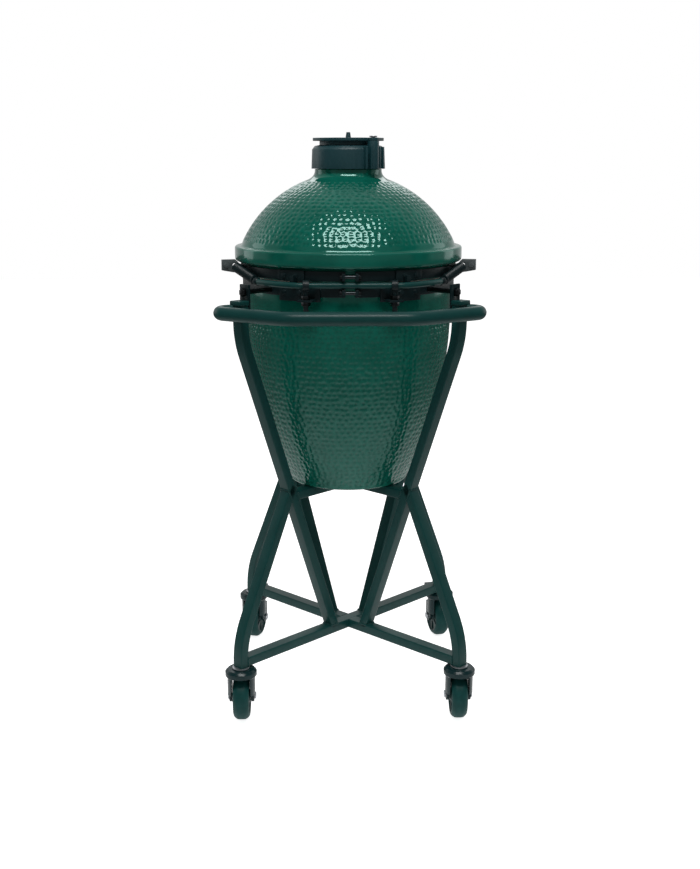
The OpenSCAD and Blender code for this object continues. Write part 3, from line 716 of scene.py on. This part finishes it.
# ---------------------------------------------------------------- stand
TUBE_W, TUBE_D = 26.0, 20.0
LEG_BEND, LEG_LEAN, LEG_TOP = (124.0, 133.0), 25.6, 486
POST_BEND, POST_LEAN = (105.3, 845.0), 20.5
BEND_R = 200.0


def radial(angle, r, z):
    a = math.radians(angle)
    return Vector((r * math.cos(a), r * math.sin(a), z)) * MM


def tube_section(width, depth):
    half_w, half_d, corner = width / 2, depth / 2, 2.4
    outline = [(-half_w, -half_d), (half_w, -half_d), (half_w, half_d), (-half_w, half_d)]
    return [(a * MM, b * MM) for a, b in rounded(outline, corner, 4)]


def tangential(angle):
    a = math.radians(angle)
    return Vector((-math.sin(a), math.cos(a), 0))


def leg_line():
    bend = arc(LEG_BEND, BEND_R, 0, LEG_LEAN, 10)
    r, z = bend[-1]
    top_r = r - (LEG_TOP - z) * math.tan(math.radians(LEG_LEAN))
    return [(LEG_BEND[0] + BEND_R, 122.0), *bend, (top_r, LEG_TOP)]


def post_line():
    bend = arc(POST_BEND, BEND_R, -POST_LEAN, 0, 10)
    r, z = bend[0]
    foot = 138.0
    foot_r = r - (z - foot) * math.tan(math.radians(POST_LEAN))
    return [(foot_r, foot), *bend, (POST_BEND[0] + BEND_R, 878.0)]


def post_r_at(z):
    r, top = arc(POST_BEND, BEND_R, -POST_LEAN, 0, 10)[0]
    return r - (top - z) * math.tan(math.radians(POST_LEAN))


def make_stand():
    section = tube_section(TUBE_W, TUBE_D)
    for name, angle in CORNERS.items():
        side = tangential(angle)
        leg = sweep([radial(angle, r, z) for r, z in leg_line()], section, side)
        piece("leg_" + name, *leg, PAINT, "stand", "stand_paint", ("stand_leg_" + name,), 50)
        post = sweep([radial(angle, r, z) for r, z in post_line()], section, side)
        piece("post_" + name, *post, PAINT, "stand", "stand_paint", ("stand_post_" + name,), 50)
    beam_z, high_z = 132.0, BASE_Z - 10
    reach = LEG_BEND[0] + BEND_R - TUBE_D / 2 + 1
    high_reach = post_r_at(high_z) - TUBE_D / 2

    def beam(angle, start, end, z):
        return sweep([radial(angle, start, z), radial(angle, end, z)], section, tangential(angle))

    half = TUBE_W / 2
    piece("lower_cross_long", *beam(45, -reach, reach, beam_z),
          PAINT, "stand", "stand_paint", ("lower_beam_long",))
    piece("lower_cross_halves", *joined([beam(a, half, reach, beam_z) for a in (135, 315)]),
          PAINT, "stand", "stand_paint", ("lower_beam_halves",))
    piece("upper_cross_long", *beam(45, -high_reach, high_reach, high_z),
          PAINT, "stand", "stand_paint", ("upper_beam_long",))
    piece("upper_cross_halves", *joined([beam(a, half, high_reach, high_z) for a in (135, 315)]),
          PAINT, "stand", "stand_paint", ("upper_beam_halves",))


def weld_bead(points, seed):
    """An uneven fillet of weld metal along a closed loop of points."""
    thick, spacing = 1.9 * MM, 1.6 * MM
    rng = np.random.default_rng(seed)
    dense = []
    for i in range(len(points)):
        a, b = points[i], points[(i + 1) % len(points)]
        count = max(1, int((b - a).length / spacing))
        dense += [a.lerp(b, k / count) for k in range(count)]
    rings = []
    n = len(dense)
    for i, p in enumerate(dense):
        forward = (dense[(i + 1) % n] - dense[i - 1]).normalized()
        up = Vector((0, 0, 1)) if abs(forward.z) < 0.9 else Vector((1, 0, 0))
        side = forward.cross(up).normalized()
        up = side.cross(forward)
        r = thick * (1 + 0.18 * math.sin(i * 2.1) + rng.uniform(-0.08, 0.08))
        rings.append([p + side * (r * math.cos(t)) + up * (r * math.sin(t))
                      for t in (2 * math.pi * k / 8 for k in range(8))])
    verts, faces = loft(rings, True, False)
    last = (n - 1) * 8
    faces += [[last + k, last + (k + 1) % 8, (k + 1) % 8, k] for k in range(8)]
    return verts, faces


def make_welds():
    """Beads round the foot of each post, the end of each lower beam, each upper beam's end and the
    joint of leg and post."""
    tilt = TUBE_D / 2 / math.cos(math.radians(POST_LEAN))
    leg_inner = LEG_BEND[0] + BEND_R - TUBE_D / 2
    foot_z, beam_z, cross_z, joint_z = 142, (122.5, 142), (454.5, 474), (452, 479.0)

    def frame_loop(angle, corners):
        """A loop from (radius, height, side) corners, with side -1 or 1 across the tube."""
        side = tangential(angle) * (TUBE_W / 2 * MM)
        return [radial(angle, r, z) + side * across for r, z, across in corners]

    loops = []
    for angle in CORNERS.values():
        foot = post_r_at(foot_z)
        loops.append(frame_loop(angle, [(foot - tilt, foot_z, -1), (foot + tilt, foot_z, -1),
                                        (foot + tilt, foot_z, 1), (foot - tilt, foot_z, 1)]))
        low, high = beam_z
        loops.append(frame_loop(angle, [(leg_inner, low, -1), (leg_inner, high, -1),
                                        (leg_inner, high, 1), (leg_inner, low, 1)]))
        low, high = cross_z
        low_r, high_r = post_r_at(low) - tilt, post_r_at(high) - tilt
        loops.append(frame_loop(angle, [(low_r, low, -1), (high_r, high, -1),
                                        (high_r, high, 1), (low_r, low, 1)]))
        low, high = joint_z
        low_r, high_r = post_r_at(low) + tilt, post_r_at(high) + tilt
        loops.append(frame_loop(angle, [(high_r, high, -1), (high_r, high, 1),
                                        (low_r, low, 1), (low_r, low, -1)]))
    beads = joined([weld_bead(loop, 40 + i) for i, loop in enumerate(loops)])
    piece("weld_beads", *beads, PAINT, "stand", "stand_paint", (), 60)


PUSH_Z, PUSH_R = 862.5, 14.0
PUSH_MOVES = [(24, 147, 20), (121, 33, 90), (192.8, 33, 90), (121, 147, 20), (24, 0, 0)]


def make_push_bar():
    line = [Vector((x, y, PUSH_Z)) * MM for x, y in flat_path((-212, -191.8), 180, PUSH_MOVES)]
    section = [(a * MM, b * MM) for a, b in circle(PUSH_R - 0.05, 36)]
    piece("push_bar_tube", *sweep(line, section, Vector((0, 0, 1))),
          PAINT, "stand", "stand_paint", ("push_bar",), 60)


# ---------------------------------------------------------------- hinge, bands and small steel
HINGE_Y, HINGE_Z, HINGE_R = -231.0, 917.5, 6.0


def make_hinge_bar():
    half = flat_path((96, HINGE_Y), 0, [(0, 34, 30), (0, 25, 252)], 3)
    points = [(-x, y) for x, y in reversed(half)] + [(-60, HINGE_Y), (60, HINGE_Y)] + half
    line = [Vector((x, y, HINGE_Z)) * MM for x, y in points]
    section = [(a * MM, b * MM) for a, b in circle(HINGE_R - 0.05, 24)]
    piece("hinge_bar_rod", *sweep(line, section, Vector((0, 0, 1))),
          PAINT, "lid", "stand_paint", ("hinge_bar",), 60)


def rod_between(a, b, profile, segments=24):
    """A turned piece along a line: profile is (distance from a, radius) in millimetres."""
    axis = (b - a).normalized()
    turn = axis.to_track_quat("Z", "Y").to_matrix().to_4x4()
    part = lathe([(r * MM, t * MM) for t, r in profile], segments, False)
    return moved(part, Matrix.Translation(a) @ turn)


def make_spring_sleeves():
    """The side arms: a ribbed sleeve over a thin rod, from the hinge bar's end to the side lug."""
    count, steps = 16, 6
    parts = []
    for side in (-1, 1):
        a = Vector((187 * side, -148.4, HINGE_Z)) * MM
        b = Vector((243 * side, -76, 946)) * MM
        length = (b - a).length / MM
        start, end = length * 0.08, length * 0.82
        coils = []
        for k in range(count * steps + 1):
            t = k / (count * steps)
            ribs = 9.1 + 0.75 * math.cos(2 * math.pi * count * t)
            coils.append((start + 2 + (end - start - 4) * t, ribs))
        sleeve = [(start, 0.5), (start, 8.5), (start + 1, 9.9), *coils,
                  (end - 1, 9.9), (end, 8.5), (end, 0.5)]
        parts.append(rod_between(a, b, sleeve, 32))
        parts.append(rod_between(a, b, [(0, 0.4), (0, 4), (length * 0.88, 4), (length * 0.88, 0.4)]))
        ball = [(-9 * math.cos(math.pi * k / 12), max(0.3, 9 * math.sin(math.pi * k / 12)))
                for k in range(13)]
        parts.append(rod_between(a, b, ball))
    piece("spring_arm_sleeves", *joined(parts),
          BAND_PAINT, "lid", "sleeve_metal", ("spring_sleeves",), 50)


def make_bands():
    for node in ("lower_band", "upper_band"):
        refined(node, BAND_PAINT, "stand_paint", 1.1, segments=3)
    for node in ("lower_band_bolt", "upper_band_bolt", "eye_bolt_nuts", "clamp_bolts"):
        refined(node, BLACK_ZINC, "zinc_steel", 0.7)
    for node in ("lower_hinge_brackets", "upper_hinge_brackets", "post_plates", "eye_bolts",
                 "handle_brackets"):
        refined(node, BAND_PAINT, "stand_paint", 0.7)
    refined("side_lugs", LUG_PAINT, "lug_metal", 0.9)
    refined("post_caps", PAINT, "stand_paint", 1.6, segments=3)
    refined("caster_stems", ZINC, "zinc_steel", 0.6)


# ---------------------------------------------------------------- vent, thermometer and handle
def make_vent():
    refined("vent_body", VENT_IRON, "vent_iron", 1.2, segments=3)
    refined("vent_top_plate", VENT_IRON, "vent_iron", 1.0, segments=3)
    refined("vent_pin", ZINC, "zinc_steel", 0.6)


def make_thermometer():
    tilt = Matrix.Translation((0, 0, DOME_Z * MM)) @ Matrix.Rotation(math.radians(-50), 4, "X")
    place = tilt @ Matrix.Translation((0, 0, DOME_R * MM))
    bezel = rounded([(1, 2), (20, 2), (20, 6), (32, 6), (32, 22), (28, 22), (28, 18.5), (1, 18.5)],
                    [0, 1.5, 1, 2, 2.5, 1.5, 0.6, 0], 4)
    case = moved(lathe([(r * MM, z * MM) for r, z in bezel], 96), place)
    piece("thermometer_bezel", *case, BRUSHED, "lid", "zinc_steel", ("thermometer_case",), 40)
    disc = [(0.3, 18.6), (27.8, 18.6), (27.8, 19.0), (0.3, 19.2)]
    face = moved(lathe([(r * MM, z * MM) for r, z in disc], 96), place)
    piece("thermometer_dial", *face, DIAL, "lid", "zinc_steel")
    marks = []
    for k in range(41):
        angle = math.radians(-130 + 260 * k / 40)
        inner = 21.0 if k % 5 == 0 else 23.4
        turn = place @ Matrix.Rotation(angle, 4, "Z")
        width = 0.55 if k % 5 == 0 else 0.3
        marks.append(moved(box_part((-width, inner, 19.0), (width, 26.2, 19.5)), turn))
    piece("thermometer_marks", *joined(marks), DIAL_INK, "lid", "zinc_steel")
    turn = place @ Matrix.Rotation(math.radians(-95), 4, "Z")
    blade = [(-1.3, -6), (1.3, -6), (0.35, 21), (-0.35, 21)]
    needle = ([Vector((x, y, z)) * MM for z in (19.8, 20.4) for x, y in blade], BOX_FACES)
    outline = [(0.3, 19.2), (3, 19.2), (3, 20.8), (2.2, 21.3), (0.3, 21.4)]
    cap = lathe([(r * MM, z * MM) for r, z in outline], 32)
    piece("thermometer_needle", *joined([moved(needle, turn), moved(cap, place)]),
          NEEDLE, "lid", "zinc_steel")
    coat("thermometer_stem", ZINC)


BOX_FACES = [[0, 3, 2, 1], [4, 5, 6, 7], [0, 1, 5, 4], [1, 2, 6, 5], [2, 3, 7, 6], [3, 0, 4, 7]]


def box_part(low, high):
    (x0, y0, z0), (x1, y1, z1) = low, high
    corners = [(x0, y0, z0), (x1, y0, z0), (x1, y1, z0), (x0, y1, z0),
               (x0, y0, z1), (x1, y0, z1), (x1, y1, z1), (x0, y1, z1)]
    return [Vector(c) * MM for c in corners], BOX_FACES


def make_handle():
    low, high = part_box("handle_grip")
    centre = (low + high) / 2
    half = (high.x - low.x) / 2 / MM
    outline = [(-half, 0.5), (-half, 11.5), (-half + 2, 13.2)]
    outline += [(-half + 2 + (2 * half - 4) * k / 24, 13.4 + 2.5 * math.sin(math.pi * k / 24) ** 0.7)
                for k in range(25)]
    outline += [(half - 2, 13.2), (half, 11.5), (half, 0.5)]
    turn = Matrix.Translation(centre) @ Matrix.Rotation(math.pi / 2, 4, "Y")
    grip = moved(lathe([(r * MM, t * MM) for t, r in outline], 64, False), turn)
    piece("handle_wood_grip", *grip, WOOD, "lid", "grip_wood", ("handle_grip",), 50)


# ---------------------------------------------------------------- draft door
def make_draft():
    refined("draft_frame", BRUSHED, "zinc_steel", 0.5)
    refined("draft_door", BRUSHED, "zinc_steel", 0.6)
    low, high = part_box("draft_screen")
    low, high = low / MM, high / MM
    wires = []
    thick, gap, edge, rim = 0.55, 3.0, 2, 4
    y = (low.y + high.y) / 2
    for k in range(int((high.x - low.x - 6) / gap) + 1):
        x = low.x + 3 + k * gap
        wires.append(box_part((x - thick / 2, y - 0.1, low.z + edge),
                              (x + thick / 2, y + 0.5, high.z - edge)))
    for k in range(int((high.z - low.z - 6) / gap) + 1):
        z = low.z + 3 + k * gap
        wires.append(box_part((low.x + edge, y - 0.5, z - thick / 2),
                              (high.x - edge, y + 0.1, z + thick / 2)))
    wires.append(box_part((low.x, low.y, low.z), (high.x, high.y, low.z + rim)))
    wires.append(box_part((low.x, low.y, high.z - rim), (high.x, high.y, high.z)))
    wires.append(box_part((low.x, low.y, low.z), (low.x + rim, high.y, high.z)))
    wires.append(box_part((high.x - rim, low.y, low.z), (high.x, high.y, high.z)))
    piece("draft_mesh", *joined(wires), ZINC, "stand", "zinc_steel", ("draft_screen",))


# ---------------------------------------------------------------- inside
def make_inside():
    refined("fire_box", CLAY, "fire_clay", 1.5)
    refined("fire_ring", CLAY, "fire_clay", 2.0)
    refined("fire_grate", GRATE_IRON, "cast_iron", 0.8)
    coat("cooking_grid", BRUSHED)
    for node, body in (("base_gasket", "stand"), ("lid_gasket", "lid")):
        low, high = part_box(node)
        outer, inner = high.x / MM, high.x / MM - 20.0
        z0, z1 = low.z / MM, high.z / MM
        outline = rounded([(inner, z0), (outer, z0), (outer, z1), (inner, z1)], 0.9, 3)
        ring = lathe([(r * MM, z * MM) for r, z in outline], 160)
        piece("felt_" + node, *ring, FELT, body, "felt", (node,), 60)


# ---------------------------------------------------------------- casters
WHEEL_R, WHEEL_HALF, TRAIL, AXLE_R = 50.0, 18.0, 14.0, 5.1
SWIVEL_R = 324.0


def caster_place(name):
    angle = math.radians(CORNERS[name])
    at = Vector((SWIVEL_R * math.cos(angle), SWIVEL_R * math.sin(angle), 0)) * MM
    return Matrix.Translation(at) @ Matrix.Rotation(math.radians(TOES[name]), 4, "Z")


def make_casters():
    tread = rounded([(38, -15), (39.5, -17.4), (WHEEL_R - 6, -16), (WHEEL_R, -9), (WHEEL_R, 9),
                     (WHEEL_R - 6, 16), (39.5, 17.4), (38, 15)], [0, 2, 5, 8, 8, 5, 2, 0], 6)
    hub = rounded([(AXLE_R, -WHEEL_HALF), (13, -WHEEL_HALF), (16, -WHEEL_HALF + 5), (34, -WHEEL_HALF + 6),
                   (38.2, -15), (38.2, 15), (34, WHEEL_HALF - 6), (16, WHEEL_HALF - 5), (13, WHEEL_HALF),
                   (AXLE_R, WHEEL_HALF)], [0, 2, 3, 3, 1, 1, 3, 3, 2, 0], 4)
    across = Matrix.Rotation(math.pi / 2, 4, "Y")
    for name in CORNERS:
        place = caster_place(name) @ Matrix.Translation((0, TRAIL * MM, WHEEL_R * MM)) @ across
        body = "wheel_" + name
        tyre = moved(lathe([(r * MM, t * MM) for r, t in tread], 96), place)
        piece("tyre_" + name, *tyre, TYRE, body, "wheel_rubber", ("caster_wheel_" + name,), 40)
        parts = [lathe([(r * MM, t * MM) for r, t in hub], 72)]
        for k in range(6):
            turn = Matrix.Rotation(math.radians(60 * k), 4, "Z")
            for side in (-1, 1):
                z0, z1 = sorted((side * (WHEEL_HALF - 7), side * (WHEEL_HALF - 3.2)))
                parts.append(moved(box_part((14, -1.6, z0), (37, 1.6, z1)), turn))
        piece("hub_" + name, *moved(joined(parts), place), HUB, body, "wheel_rubber", (), 40)
        refined("caster_fork_" + name, CASTER_METAL, "caster_metal", 1.3, segments=3)
        refined("caster_axle_" + name, ZINC, "zinc_steel", 0.7)
    for side in ("left", "right"):
        refined("brake_pedal_" + side, CASTER_METAL, "stand_paint", 1.2, segments=3)


make_camera()
make_light()
make_floor()
make_lid()
make_base()
make_draft_surround()
make_stand()
make_welds()
make_push_bar()
make_hinge_bar()
make_spring_sleeves()
make_bands()
make_vent()
make_thermometer()
make_handle()
make_draft()
make_inside()
make_casters()

bpy.context.scene.view_settings.view_transform = "Standard"
